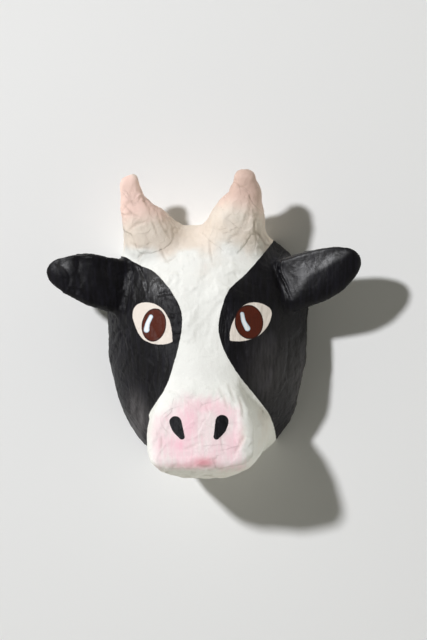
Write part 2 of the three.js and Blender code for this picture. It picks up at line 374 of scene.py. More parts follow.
@dataclass
class Muzzle:
    """The boxy muzzle, with a slanting front."""

    centre_y: float = -149.0
    foot_x: float = 7.0
    foot_z: float = 26.0
    foot_half_width: float = 74.0
    foot_drop: float = 52.0
    face_x: float = -7.5
    face_half_width: float = 60.0
    face_drop: float = 41.0
    rise: float = 105.0
    depth: float = 177.0
    slant: float = 0.47
    edge: float = 14.0
    top_rounding: float = 0.9
    dome: float = 5.0
    rise_fullness: float = 1.35
    foot_fullness: float = 1.9
    face_fullness: float = 5.2
    chin_hold: float = 3.0
    box_hold: float = 2.0
    chin_swell: float = 7.0
    crowding: float = 1.6  # how much the front's rings crowd towards its edge
    last_ring: float = 0.02  # the ring in the front's middle, as a share of its edge

    def face_height(self, y: Array, share: Array, inset: float) -> Array:
        """The front's height: a slope with a slight dome, less a rounded edge.

        The rounding is a quarter circle across the edge, and takes in more of the front higher up.

        Args:
            y: Each point's place from chin to horns.
            share: Each ring's size, as a share of the front's.
            inset: How far inside the skin the points lie.

        Returns:
            The height of each point.
        """
        top = smoothstep(self.centre_y, self.centre_y + self.rise, y)
        edge = lerp(self.edge / self.face_half_width, self.top_rounding, top)
        beyond = np.maximum(0.0, (share - 1.0 + edge) / edge)
        fall = self.edge * (1.0 - np.sqrt(np.maximum(0.0, 1.0 - beyond ** 2)))
        lip = self.centre_y - self.face_drop
        slope = self.depth - self.slant * (y - lip)
        return slope + self.dome * (1.0 - share ** 2) - fall - inset

    def sections(self, inset: float, around: int, wall_steps: int, face_steps: int) -> Array:
        """Rings up the walls and over the front.

        Width, drop and fullness go from the foot's to the front's, fullness late and drop later
        still, and the chin swells by a sine between the two.

        Args:
            inset: How far inside the skin the rings lie.
            around: How many points a ring has.
            wall_steps: How many steps there are up the walls.
            face_steps: And over the front.

        Returns:
            The rings' points.
        """
        climb = np.r_[np.linspace(0, 1, wall_steps + 1), np.ones(face_steps)][:, None]
        crowd = np.linspace(0, 1, face_steps + 1)[1:] ** self.crowding
        share = np.r_[np.ones(wall_steps + 1), 1.0 - (1.0 - self.last_ring) * crowd][:, None]
        angle = angles_around(around)[None, :]
        upper = np.sin(angle) >= 0.0
        lower_fullness = lerp(self.foot_fullness, self.face_fullness, climb ** self.box_hold)
        fullness = np.where(upper, self.rise_fullness, lower_fullness)
        drop = lerp(self.foot_drop, self.face_drop, climb ** self.chin_hold)
        drop = drop + self.chin_swell * np.sin(np.pi * climb)
        reach = np.where(upper, self.rise, drop) - inset
        width = lerp(self.foot_half_width, self.face_half_width, climb) - inset
        x = lerp(self.foot_x, self.face_x, climb) + share * width * swell(np.cos(angle), fullness)
        y = self.centre_y + share * reach * swell(np.sin(angle), fullness)
        z = lerp(self.foot_z, self.face_height(y, share, inset), climb)
        return np.stack([x, y, z], axis=-1)


def directions_at(curve: Array, tilt: float) -> tuple[Array, Array]:
    """Two directions square to a curve at each of its points.

    The first lies in the plane of the back, turned about the curve by a tilt: its cosine of the
    first direction and its sine of the one square to that. The second is square to the curve and
    to the first.

    Args:
        curve: The curve's points.
        tilt: The turn about the curve, in radians.

    Returns:
        The two directions at each point.
    """
    along = np.gradient(curve, axis=0)
    along /= np.linalg.norm(along, axis=1)[:, None]
    across = np.stack([-along[:, 1], along[:, 0], np.zeros(len(along))], axis=1)
    across /= np.linalg.norm(across, axis=1)[:, None]
    across = across * math.cos(tilt) + np.cross(along, across) * math.sin(tilt)
    return across, np.cross(along, across)


@dataclass
class Horn:
    """A paper cone with a wide foot and a round tip, a little flattened in front."""

    line: list[Point]
    foot_radius: float
    tip_radius: float
    taper: float
    fullness: float = 2.6

    def sections(self, around: int = 48, steps: int = 60) -> Array:
        """Rings along the horn's line.

        The radius falls from the foot's to the tip's as a power of a quarter turn's cosine, and the
        last radius of length is a half ball. A ring is a superellipse.

        Args:
            around: How many points a ring has.
            steps: How many rings there are.

        Returns:
            The rings' points.
        """
        curve = smooth_curve(self.line, steps)
        length = np.linalg.norm(np.diff(curve, axis=0), axis=1).sum()
        at = np.linspace(0.0, 1.0, steps)
        tip_at = 1.0 - self.tip_radius / length
        spread = np.maximum(np.cos(np.minimum(at / tip_at, 1.0) * np.pi / 2.0), 0.0)
        radius = lerp(self.tip_radius, self.foot_radius, spread ** self.taper)
        beyond = np.clip((at - tip_at) / (1.0 - tip_at), 0.0, 0.999)
        radius = radius * np.sqrt(1.0 - beyond ** 2)
        across, out = directions_at(curve, 0.0)
        angle = angles_around(around)[None, :, None]
        ring = (
            swell(np.cos(angle), self.fullness) * across[:, None]
            + swell(np.sin(angle), self.fullness) * out[:, None]
        )
        return curve[:, None] + radius[:, None, None] * ring


@dataclass
class Ear:
    """A leaf whose front is a flat face above a fold and a round roll below it."""

    line: list[Point]
    half_width: float
    fold_from: float  # the fold's level at the root, from the lower edge (-1) to the upper (1)
    fold_to: float  # and at the tip
    scoop: float  # how far the face is hollowed
    roll: float = 13.0
    back: float = 10.0
    tilt: float = 0.12
    leaf: float = 2.8
    fullness: float = 2.5
    thinning: float = 0.6
    edge_from: float = 0.86  # where the face's steep edge starts, from the fold (0) to the edge (1)
    scoop_to: float = 0.9  # and where the scoop ends
    narrowest: float = 0.06  # the width at the tip, as a share of the half width

    def sections(self, around: int = 96, steps: int = 60) -> Array:
        """Rings along the ear's line.

        The width is the square root of one less the share to the leaf's power. Below the fold the
        front falls off as a quarter circle. Above it the front is flat, less a sine-shaped scoop,
        and closes with a steep edge. The back is a swollen sine.

        Args:
            around: How many points a ring has.
            steps: How many rings there are.

        Returns:
            The rings' points.
        """
        side = math.copysign(1.0, self.line[-1][0])
        curve = smooth_curve(self.line, steps)
        share = np.linspace(0.0, 1.0, steps)
        leaf = np.sqrt(np.maximum(1.0 - share ** self.leaf, 0.0))
        leaf = np.maximum(leaf, self.narrowest)
        across, out = directions_at(curve, -side * self.tilt)
        across *= side
        out *= np.sign(out[:, 2:3])
        angle = angles_around(around)[None, :]
        level = np.cos(angle)
        bulge = np.abs(swell(np.sin(angle), self.fullness))
        fold = lerp(self.fold_from, self.fold_to, share)[:, None]
        below = np.clip((fold - level) / (fold + 1.0), 0.0, 1.0)
        above = np.clip((level - fold) / (1.0 - fold), 0.0, 1.0)
        face = 1.0 - np.clip((above - self.edge_from) / (1.0 - self.edge_from), 0.0, 1.0) ** 2
        front = self.roll * np.sqrt(1.0 - below ** 2) * face
        front = front - self.scoop * np.sin(np.pi * np.clip(above / self.scoop_to, 0.0, 1.0))
        depth = np.where(np.sin(angle) >= 0.0, front, -self.back * bulge)
        depth = depth * leaf[:, None] ** self.thinning
        width = self.half_width * leaf[:, None] * level
        return (
            curve[:, None] + width[:, :, None] * across[:, None] + depth[:, :, None] * out[:, None]
        )


# Relief: how paper laid on by hand differs from the smooth forms


@dataclass(frozen=True)
class Fold:
    """A crease in the skin, drawn on the paint plan."""

    line: list[Flat]
    depth: float
    width: float = 3.0
    lip: float = 0.5  # how far its edge stands up, as a share of the depth


FOLDS = [
    # The left horn
    Fold([(-104, 118), (-93.3, 107), (-86, 104)], 1.1, 2.4),
    Fold([(-100, 84), (-90.8, 93.3), (-74.7, 98.2)], 1.3, 2.6),
    Fold([(-70, 99), (-66, 90), (-63, 80)], 1.1, 2.0),
    Fold([(-62, 104), (-54, 88), (-46, 76)], 0.9, 2.4),
    Fold([(-84, 138), (-78, 122), (-72, 113)], 1.0, 2.6),
    Fold([(-96, 70), (-86, 66), (-70, 64)], 0.8, 3.0),
    Fold([(-79, 126), (-74, 124), (-70, 119)], 1.1, 1.8),
    # Its foot
    Fold([(-87.1, 47.2), (-83, 56), (-72.2, 60)], 1.6, 2.4),
    Fold([(-60, 66), (-54, 53), (-49, 46)], 1.0, 2.4),
    Fold([(-53.5, 47.2), (-46, 50), (-39.8, 54.7)], 1.0, 2.2),
    # The right horn
    Fold([(53, 128), (51, 108), (47, 92), (38, 80)], 1.0, 3.4),
    Fold([(47.2, 106.9), (44.7, 97), (37.3, 84.6), (24.8, 74.6)], 1.0, 2.6),
    Fold([(60, 104), (58, 88), (62, 72)], 1.0, 3.0),
    Fold([(36, 143), (44, 141), (50, 146)], 1.0, 2.2),
    # Its foot
    Fold([(22.3, 69.6), (26, 72.4), (31.1, 72.1)], 1.3, 2.0),
    Fold([(1.2, 76), (2.8, 62), (4.9, 47.2)], 0.9, 2.2),
    Fold([(60, 84), (67.1, 76), (72, 66)], 1.3, 2.6),
    Fold([(69, 82), (75, 74), (79, 66)], 1.0, 2.4),
    # The muzzle
    Fold([(14, -110), (20, -122), (24, -134)], 0.7, 3.0),
    Fold([(26, -106), (30, -118), (33, -126)], 0.7, 2.8),
    Fold([(38, -118), (42, -132), (43, -146)], 0.7, 3.0),
    Fold([(-58, -170), (-57.6, -178), (-58.4, -184)], 1.0, 1.8),
    Fold([(-30, -186), (-18, -181), (-8, -177)], 0.6, 2.6),
    Fold([(-12, -205), (-4, -207), (4, -206)], 0.8, 2.0),
    Fold([(34, -190), (39, -181), (45, -170)], 1.5, 3.4),
    # The right ear's edge over the cheek
    Fold([(94, 60), (88.5, 46), (89, 34), (96, 20), (103, 2)], 2.2, 2.6, 0.7),
    # The left ear
    Fold([(-130, 48), (-128, 40), (-125, 31)], 1.2, 2.2),
    Fold([(-96, 44), (-94, 36), (-97, 26)], 1.3, 2.2),
    Fold([(-190, 46), (-178, 40), (-172, 26), (-178, 12)], 1.3, 2.6),
    Fold([(-166, 58), (-160, 46), (-164, 34)], 0.9, 2.6),
    Fold([(-150, 4), (-160, 12), (-172, 14)], 1.1, 2.2),
    Fold([(-112, 10), (-106, 16), (-104, 26)], 1.1, 2.4),
    # The left cheek and the brow
    Fold([(-119, -52), (-113, -39), (-98, -34), (-84, -38)], 1.8, 3.4),
    Fold([(-87, 44), (-78, 24), (-76, 6)], 1.6, 3.0),
    Fold([(-60, 30), (-55, 14), (-50, 0)], 0.9, 3.0),
    Fold([(-66, 4), (-54, 8), (-42, 8)], 1.2, 3.0),
    # The right cheek
    Fold([(97, -28), (101, -60), (98, -96)], 0.8, 4.0),
]


@dataclass(frozen=True)
class Flap:
    """A crumpled end that stands out of the skin as a bell."""

    centre: Point
    height: float
    radius: float


FLAPS = [
    Flap((63, 128, 98), 4.5, 9.0),  # on the right horn
    Flap((-84, 145, 92), 4.0, 6.0),  # at the left horn's tip
]


@dataclass
class Relief:
    """Everything that is laid or pressed into the skin by hand."""

    lump_height: float = 1.3
    lump_length: float = 62.0
    strips: int = 330
    strip_thickness: float = 0.5
    half_lengths: Span = (20.0, 42.0)  # the strips' least and most
    half_widths: Span = (8.0, 15.0)
    thicknesses: Span = (0.5, 1.3)  # as shares of the thickness
    strip_reach: float = 12.0  # how far off its plane a strip still lies on the skin
    torn: float = 0.9  # mm each side of a strip's edge over which it rises
    crumple: float = 0.6
    crease_width: float = 0.07  # as a value of the noise
    fold_reach: float = 12.0  # how far off its line a fold still moves the skin

    def lumps(self, p: Array) -> Array:
        """Three crossing waves: the slow rise and fall of the skin.

        Args:
            p: The skin's points.

        Returns:
            The height at each point.
        """
        turn = 2.0 * np.pi / self.lump_length
        x, y, z = p.T
        waves = (
            np.sin(turn * (x + 0.6 * y))
            + np.sin(turn * (0.8 * y - 0.5 * z) + 1.3)
            + np.sin(turn * (0.7 * z - 0.9 * x) + 2.1)
        )
        return self.lump_height * waves / 3.0

    def pasted_strips(self, p: Array, normals: Array) -> Array:
        """The steps where torn strips overlap.

        Each strip is a rectangle in the plane that touches the skin at a random point. It raises
        what lies under it by its thickness, with a torn edge whose line wanders with a noise.

        Args:
            p: The skin's points.
            normals: Its normals.

        Returns:
            The height at each point, 0 on average.
        """
        rng = np.random.default_rng(SEED)
        height = np.zeros(len(p))
        tear = 2.2 * gradient_noise(p, 5.0, SEED + 1) + 1.2 * gradient_noise(p, 2.6, SEED + 2)
        for _ in range(self.strips):
            pick = rng.integers(len(p))
            normal = normals[pick]
            heading = np.cross(normal, rng.normal(size=3))
            heading /= np.linalg.norm(heading)
            beside = np.cross(normal, heading)
            half_length = rng.uniform(*self.half_lengths)
            half_width = rng.uniform(*self.half_widths)
            offset = p - p[pick]
            near = np.abs(offset @ normal) < self.strip_reach
            off = offset[near]
            edge = np.maximum(
                np.abs(off @ heading) - half_length, np.abs(off @ beside) - half_width
            )
            rise = smoothstep(-self.torn, self.torn, -(edge + tear[near]))
            height[near] += self.strip_thickness * rng.uniform(*self.thicknesses) * rise
        return height - height.mean()

    def flaps(self, p: Array) -> Array:
        """The flaps' heights: each a bell that fades with the squared distance.

        Args:
            p: The skin's points.

        Returns:
            The height at each point.
        """
        height = np.zeros(len(p))
        for flap in FLAPS:
            away = ((p - np.array(flap.centre)) ** 2).sum(1)
            height += flap.height * np.exp(-away / flap.radius ** 2)
        return height

    def creases(self, p: Array, length: float, seed: int) -> Array:
        """Random fine creases: narrow ridges where a soft noise passes through zero.

        Args:
            p: The skin's points.
            length: The noise's spacing.
            seed: Which noise.

        Returns:
            The creases, from 0 to 1.
        """
        wave = gradient_noise(p, length, seed)
        here = smoothstep(-0.1, 0.5, gradient_noise(p, length * 1.7, seed + 1))
        return np.exp(-(wave / self.crease_width) ** 2) * here

    def skin(self, p: Array, normals: Array, patch: Array, horn: Array, ear: Array) -> Array:
        """All that is random: lumps, strips, creases of two sizes and soft waves.

        Args:
            p: The skin's points.
            normals: Its normals.
            patch: How much each point lies on a black patch.
            horn: How much it lies on a horn.
            ear: How much it lies on an ear.

        Returns:
            The height at each point.
        """
        height = self.lumps(p) + self.pasted_strips(p, normals)
        coarse = self.creases(p, 17.0, SEED + 5)
        fine = self.creases(p * np.array([1.0, 0.6, 1.0]), 9.0, SEED + 9)
        waves = gradient_noise(p, 13.0, SEED + 14)
        height += self.crumple * coarse * (0.3 + 0.3 * patch + 0.4 * horn)
        height += 0.5 * fine * (0.25 + 0.9 * horn)
        height += waves * (0.2 + 0.4 * horn + 0.1 * ear + 0.2 * patch)
        return height

    def folds(self, plan: Array, seen: Array) -> tuple[Array, Array]:
        """The drawn folds: a bell-shaped valley with a raised lip beside it.

        Args:
            plan: The points on the paint plan.
            seen: How much each point faces the viewer, from 0 to 1.

        Returns:
            The height, and how deep in a fold each point lies, from 0 to 1.
        """
        height = np.zeros(len(plan))
        depth = np.zeros(len(plan))
        for fold in FOLDS:
            line = smooth_curve(fold.line, 12)
            low = line.min(0) - self.fold_reach
            high = line.max(0) + self.fold_reach
            near = np.all((plan > low) & (plan < high), axis=1)
            gap, share = distance_to_line(plan[near], line)
            start, end = line[0], line[-1]
            way = (end - start) / np.linalg.norm(end - start)
            off = plan[near] - start
            side = np.sign(off[:, 0] * way[1] - off[:, 1] * way[0])
            fade = np.sin(np.pi * np.clip(0.08 + 0.84 * share, 0.0, 1.0)) ** 0.6
            valley = np.exp(-(gap / (0.55 * fold.width)) ** 2) * fade
            lip = np.exp(-((side * gap - fold.width) / (0.8 * fold.width)) ** 2) * fade
            height[near] += seen[near] * fold.depth * (fold.lip * lip - valley)
            depth[near] = np.maximum(depth[near], seen[near] * valley * min(1.0, fold.depth))
        return height, depth


# Paint


@dataclass(frozen=True)
class Drop:
    """A teardrop: all that is within a radius of a line. The radius changes late along it."""

    line: list[Flat]
    start_radius: float
    end_radius: float

    def distance(self, plan: Array) -> Array:
        """The distance to its edge, positive inside."""
        gap, share = distance_to_line(plan, smooth_curve(self.line, 10))
        return lerp(self.start_radius, self.end_radius, share ** 2) - gap


@dataclass(frozen=True)
class Oval:
    """An ellipse whose top leans to the right by an angle in degrees."""

    centre: Flat
    half_width: float
    half_height: float
    lean: float

    def distance(self, plan: Array) -> Array:
        """About the distance to its edge: the shortfall from the unit circle, times its size.

        Args:
            plan: The points on the paint plan.

        Returns:
            The distances, positive inside.
        """
        turn = math.radians(self.lean)
        x, y = (plan - np.array(self.centre)).T
        across = (x * math.cos(turn) - y * math.sin(turn)) / self.half_width
        up = (x * math.sin(turn) + y * math.cos(turn)) / self.half_height
        size = math.sqrt(self.half_width * self.half_height)
        return (1.0 - np.hypot(across, up)) * size


@dataclass(frozen=True)
class Outline:
    """A painted shape with a smooth edge through a few points, and sharp corners where asked."""

    points: list[Flat]
    corner_first: bool = False

    def distance(self, plan: Array) -> Array:
        """The distance to its edge.

        Args:
            plan: The points on the paint plan.

        Returns:
            The distances, positive inside.
        """
        if self.corner_first:
            outline = smooth_curve([*self.points, self.points[0]], 90)[:-1]
        else:
            outline = smooth_curve(self.points, 90, closed=True)
        return distance_to_outline(plan, outline)


@dataclass(frozen=True)
class Edge:
    """A painted area behind a smooth inner edge, closed by corners far off the skin."""

    inner: list[Flat]
    far: list[Flat]

    def distance(self, plan: Array) -> Array:
        """The distance to its inner edge, positive inside."""
        return distance_to_outline(plan, np.vstack([smooth_curve(self.inner, 70), self.far]))


def deepest(shapes: list[Drop | Oval | Outline | Edge], plan: Array) -> Array:
    """The distance to the edge of the nearest of some shapes, positive inside any of them."""
    return np.maximum.reduce([shape.distance(plan) for shape in shapes])


LEFT_PATCH = Edge(
    [(-104, 54), (-84.5, 43.3), (-68.3, 35.8), (-53.4, 21), (-41.3, 3.5), (-33.9, -12.8),
     (-32.3, -29), (-35.2, -50.5), (-41.3, -74.9), (-52.7, -108.6), (-69.8, -135.3),
     (-73.6, -142.5)],
    [(-66, -190), (-66, -300), (-330, -300), (-330, 60), (-125, 57)],
)
RIGHT_PATCH = Edge(
    [(80.4, 71.7), (66.3, 54.7), (47.1, 32.8), (26.2, 12.8), (17.6, -8.2), (12.9, -34.9),
     (18.6, -59.6), (35.8, -90.1), (64.3, -126.3), (77.6, -145.3), (84.7, -173.9),
     (82.4, -186)],
    [(72, -210), (72, -300), (330, -300), (330, 200), (110, 140)],
)
PATCHES = [LEFT_PATCH, RIGHT_PATCH]
LEFT_EYE = Outline(
    [(-44.2, -51.9), (-45.3, -37.3), (-49.4, -22.3), (-58.9, -9.4), (-73.7, -3.1), (-88.5, -6),
     (-93.9, -16.8), (-91.2, -30.4), (-81.8, -47.9), (-67, -54.6), (-50.8, -54.6)],
    corner_first=True,
)
RIGHT_EYE = Outline(
    [(27.2, -51), (27.1, -41.1), (31.9, -25.4), (45.2, -6.2), (62.4, -3.4), (78.1, -12),
     (76.7, -27.3), (65.3, -42.4), (47.1, -50.5)],
    corner_first=True,
)
EYES = [LEFT_EYE, RIGHT_EYE]
EAR_FACE = Outline(
    [(90, 52), (114, 60), (145, 63), (176, 60), (145, 41), (124, 30), (114, 12), (104, 0),
     (96, 8), (88, 37)],
)
IRISES = [Oval((-67.3, -31.1), 15.2, 20.9, 9.0), Oval((51.0, -27.4), 17.7, 21.4, -7.0)]
GLINTS = [
    Drop([(-70.9, -20.8), (-75.0, -28.9), (-76.6, -37.2)], 2.6, 3.5),
    Drop([(42.4, -17.3), (44.4, -26.8), (49.0, -35.4)], 2.5, 3.5),
]
NOSTRILS = [
    Drop([(-40.6, -152.0), (-38.0, -160), (-32.6, -170.0)], 7.5, 3.6),
    Drop([(17.4, -151.0), (15.2, -160), (10.4, -170.0)], 8.2, 3.8),
]


@dataclass(frozen=True)
class Blot:
    """A soft patch of a tint: a bell that fades by its own width and height."""

    strength: float
    centre: Flat
    size: Flat

    def on(self, plan: Array) -> Array:
        """The tint's strength at each point of the plan."""
        away = (plan - np.array(self.centre)) / np.array(self.size)
        return self.strength * np.exp(-(away ** 2).sum(1))


def added_up(blots: list[Blot], plan: Array) -> Array:
    """The sum of some blots' tints."""
    return sum(blot.on(plan) for blot in blots)


# Where each tint is stronger, or weaker where its strength is below 0
BLUSH = [
    Blot(0.30, (-25, -155), (9, 17)),
    Blot(0.10, (0, -134), (22, 10)),
    Blot(0.20, (25, -141), (10, 11)),
    Blot(0.20, (37, -170), (7, 18)),
    Blot(0.16, (-27, -185), (17, 11)),
    Blot(0.04, (-52, -172), (11, 10)),
    Blot(0.14, (-66, -150), (9, 22)),
    Blot(0.20, (-35, -179), (13, 8)),
    Blot(0.15, (-20, -198), (24, 8)),
    Blot(0.08, (8, -186), (20, 10)),
]
LIP = [Blot(1.0, (-5, -202), (14, 6)), Blot(0.4, (-30, -206), (20, 4))]
# Cream paint, with painted light and shade where marked
CREAM_AND_SHADE = [
    Blot(0.3, (2, 36), (18, 26)),
    Blot(-0.6, (-26, 54), (14, 12)),
    Blot(-0.6, (-92, 56), (14, 12)),
    Blot(-0.7, (22, 63), (16, 12)),
    # painted light: less cream, which lifts the right horn's shaded flank
    Blot(-0.15, (40, 90), (22, 30)),
    # painted shade: a warmer, darker tint on the muzzle's right flank and the right of its front
    Blot(0.4, (68, -160), (14, 34)),
    Blot(0.5, (42, -166), (8, 22)),
]
# Lighter grey on the blacks: partly worn paint, partly painted sheen on the cheeks
WEAR_AND_SHEEN = [
    Blot(1.0, (-86, -152), (13, 22)),
    Blot(0.4, (-92, -128), (10, 16)),
    Blot(0.52, (76, -90), (24, 44)),
    Blot(0.60, (116, -110), (14, 50)),
]
GLOSS = [
    Blot(1.0, (-66, 24), (24, 20)),
    Blot(1.0, (-181, 45), (9, 9)),
    Blot(0.5, (40, 32), (9, 9)),
]
CRUMPLED_BROW = Blot(0.7, (-66, 24), (24, 20))
MUZZLE_SIDE_SHADE = Blot(0.6, (-76, -158), (9, 26))
OVER_FOOT = Blot(12.0, (-95, 49), (12, 9))  # mm that the black runs on over the left horn's foot


@dataclass
class Paint:
    """Which paint lies where, as numbers on the skin that the finish turns into colours."""

    lap: float = 1.5  # mm by which the black laps on to the muzzle and the horns
    lap_slope: float = 1.2  # how fast the black gives way past the lap
    nose_arch: float = 0.0097  # the curve of the pink's upper edge, per mm

    def patches(self, plan: Array, near: dict[str, Array]) -> Array:
        """The black's edge distance: two patches that stop at the muzzle and horns, and the ears.

        Args:
            plan: The points on the paint plan.
            near: The distances to each form.

        Returns:
            The distances in millimetres, positive on the black.
        """
        horn = nearest(near, "horn")
        above_muzzle = 60.0 * smoothstep(-145.0, -118.0, plan[:, 1])
        to_muzzle = self.lap_slope * (near["muzzle"] - near["head"]) + self.lap + above_muzzle
        to_horn = self.lap_slope * (horn - near["head"]) + self.lap + OVER_FOOT.on(plan)
        patch = np.minimum.reduce([deepest(PATCHES, plan), to_muzzle, to_horn])
        on_ear = np.minimum.reduce([near["head"], near["muzzle"], horn]) - nearest(near, "ear")
        return np.maximum(patch, on_ear)

    def pink(self, plan: Array, p: Array) -> Array:
        """The nose's pink: a field with wandering sides under an arched edge, and soft blots.

        Args:
            plan: The points on the paint plan.
            p: The points about the cheeks' middle.

        Returns:
            The pink's strength.
        """
        across = plan[:, 0] + 5.0 * gradient_noise(p, 24.0, SEED + 21)
        up = plan[:, 1] + 7.0 * gradient_noise(p, 15.0, SEED + 22)
        arch = self.nose_arch * (across + 6.0) ** 2
        sides = smoothstep(-77.0, -60.0, across) * smoothstep(58.0, 36.0, across)
        ends = smoothstep(-96.0, -134.0, up + arch) * smoothstep(-218.0, -206.0, plan[:, 1])
        return 0.5 * sides * ends + added_up(BLUSH, plan)

    def horn_tips(self, plan: Array, on_horn: Array) -> Array:
        """The pink of the horns' tips, which fades down each horn across its own lean.

        Args:
            plan: The points on the paint plan.
            on_horn: How much each point lies on a horn.

        Returns:
            The pink's strength, from 0 to 1.
        """
        left = smoothstep(74.0, 124.0, plan[:, 1] - 0.15 * (plan[:, 0] + 90.0))
        right = 0.75 * smoothstep(80.0, 132.0, plan[:, 1] + 0.3 * (plan[:, 0] - 48.0))
        return np.where(plan[:, 0] < -20.0, left, right) * on_horn

    def masks(self, plan: Array, p: Array, near: dict[str, Array], fold: Array) -> dict[str, Array]:
        """Every painted shape's edge distance in millimetres, and every soft tint from 0 to 1.

        Args:
            plan: The points on the paint plan.
            p: The points about the cheeks' middle.
            near: The distances to each form.
            fold: How deep in a fold each point lies.

        Returns:
            The values by the name that the finish reads.
        """
        on_horn = touching(nearest(near, "horn"), HORN_REACH)
        on_front = smoothstep(112.0, 150.0, p[:, 2])
        # the chin's underside, given a darker, warmer tint as painted shade
        chin = smoothstep(-186.0, -195.0, p[:, 1])
        border = plan[:, 1] + 13.0 * gradient_noise(p, 27.0, SEED + 23)
        cream_and_shade = smoothstep(38.0, 76.0, border) + added_up(CREAM_AND_SHADE, plan) + 0.3 * chin
        tip = self.horn_tips(plan, on_horn)
        muzzle_front = smoothstep(-105.0, -135.0, plan[:, 1]) * smoothstep(-198.0, -186.0, p[:, 1])
        ear_face = smoothstep(-4.0, 4.0, EAR_FACE.distance(plan))
        ear_face *= lerp(0.4, 1.0, smoothstep(98.0, 138.0, plan[:, 0]))
        return {
            "patch": self.patches(plan, near),
            "eye": deepest(EYES, plan),
            "iris": deepest(IRISES, plan),
            "glint": deepest(GLINTS, plan),
            "nostril": deepest(NOSTRILS, plan),
            "blush": np.clip(self.pink(plan, p) * on_front, 0.0, 1.0),
            "lip": np.clip(added_up(LIP, plan) * on_front, 0.0, 1.0),
            "cream_and_shade": np.clip(cream_and_shade, 0.0, 1.0),
            "tip": tip,
            # painted shade on the right horn's tip
            "shaded_tip": smoothstep(-20.0, 0.0, plan[:, 0]) * tip * smoothstep(104.0, 138.0, plan[:, 1]),
            "wear_and_sheen": np.clip(added_up(WEAR_AND_SHEEN, plan), 0.0, 1.0),
            "gloss": np.maximum.reduce([ear_face, *(blot.on(plan) for blot in GLOSS)]),
            "rough": np.maximum.reduce([on_horn, 0.45 * muzzle_front, CRUMPLED_BROW.on(plan)]),
            "ear": touching(nearest(near, "ear"), EAR_REACH),
            # painted shade: the folds' valleys, the chin's underside and the muzzle's left side
            "fold": np.maximum.reduce([fold, 0.4 * chin, MUZZLE_SIDE_SHADE.on(plan)]),
        }


# Finishes


class Tree:
    """Adds nodes to a node tree and joins them."""

    def __init__(self, tree: bpy.types.NodeTree) -> None:
        """Starts on an empty tree."""
        self.tree = tree
        tree.nodes.clear()

    def add(self, kind: str, inputs: dict[str | int, Any] | None = None, **settings: Any) -> Any:
        """Adds one node.

        Args:
            kind: The node's type name.
            inputs: What each input takes: a socket to join or a plain value.
            settings: The node's own settings.

        Returns:
            The node.
        """
        node = self.tree.nodes.new(kind)
        for name, value in settings.items():
            setattr(node, name, value)
        for key, value in (inputs or {}).items():
            if isinstance(value, bpy.types.NodeSocket):
                self.tree.links.new(value, node.inputs[key])
            else:
                node.inputs[key].default_value = value
        return node

    def math(self, operation: str, first: Any, second: Any = 0.0, clamp: bool = False) -> Any:
        """One sum of two values."""
        inputs = {0: first, 1: second}
        return self.add("ShaderNodeMath", inputs, operation=operation, use_clamp=clamp).outputs[0]

    def plus(self, first: Any, second: Any, clamp: bool = False) -> Any:
        """Adds two values."""
        return self.math("ADD", first, second, clamp)

    def minus(self, first: Any, second: Any) -> Any:
        """Takes the second value from the first."""
        return self.math("SUBTRACT", first, second)

    def times(self, first: Any, second: Any) -> Any:
        """Multiplies two values."""
        return self.math("MULTIPLY", first, second)

    def vector(self, operation: str, first: Any, second: Any) -> Any:
        """One sum of two vectors."""
        inputs = {0: first, 1: second}
        return self.add("ShaderNodeVectorMath", inputs, operation=operation).outputs[0]

    def ramp(self, value: Any, low: float, high: float, to_low: float = 0.0,
             to_high: float = 1.0) -> Any:
        """Maps a value from one range to another, smoothly and within it.

        Args:
            value: The value.
            low: Where the first range starts.
            high: Where it ends.
            to_low: Where the second range starts.
            to_high: Where it ends.

        Returns:
            The mapped value's socket.
        """
        inputs = {"Value": value, "From Min": low, "From Max": high, "To Min": to_low,
                  "To Max": to_high}
        node = self.add("ShaderNodeMapRange", inputs, interpolation_type="SMOOTHSTEP")
        return node.outputs["Result"]

    def mix(self, share: Any, first: Any, second: Any) -> Any:
        """Mixes two colours."""
        inputs = {0: share, 6: first, 7: second}
        return self.add("ShaderNodeMix", inputs, data_type="RGBA").outputs[2]

    def blend(self, share: Any, first: Any, second: Any) -> Any:
        """Mixes two numbers."""
        inputs = {0: share, 2: first, 3: second}
        return self.add("ShaderNodeMix", inputs, data_type="FLOAT").outputs[0]

    def noise(self, vector: Any, scale: Any, detail: float = 3.0, roughness: float = 0.5) -> Any:
        """A soft noise from 0 to 1."""
        inputs = {"Vector": vector, "Scale": scale, "Detail": detail, "Roughness": roughness}
        return self.add("ShaderNodeTexNoise", inputs).outputs["Fac"]

    def attribute(self, name: str) -> Any:
        """A number that the mesh holds at its points."""
        return self.add("ShaderNodeAttribute", attribute_name=name).outputs["Fac"]

    def place(self) -> Any:
        """Each point's place on the piece."""
        return self.add("ShaderNodeTexCoord").outputs["Object"]

    def effect(self, group: bpy.types.NodeTree, **inputs: Any) -> Any:
        """Places a shared effect with its own values, and gives its outputs."""
        return self.add("ShaderNodeGroup", inputs, node_tree=group).outputs

    def bump(self, strength: float, distance: float, height: Any) -> Any:
        """The normals of a surface that rises by a height."""
        inputs = {"Strength": strength, "Distance": distance, "Height": height}
        return self.add("ShaderNodeBump", inputs).outputs["Normal"]

    def surface(self, **inputs: Any) -> None:
        """Ends a material with a plain surface. An underscore in a name stands for a space."""
        named = {name.replace("_", " "): value for name, value in inputs.items()}
        shader = self.add("ShaderNodeBsdfPrincipled", named)
        self.add("ShaderNodeOutputMaterial", {"Surface": shader.outputs[0]})


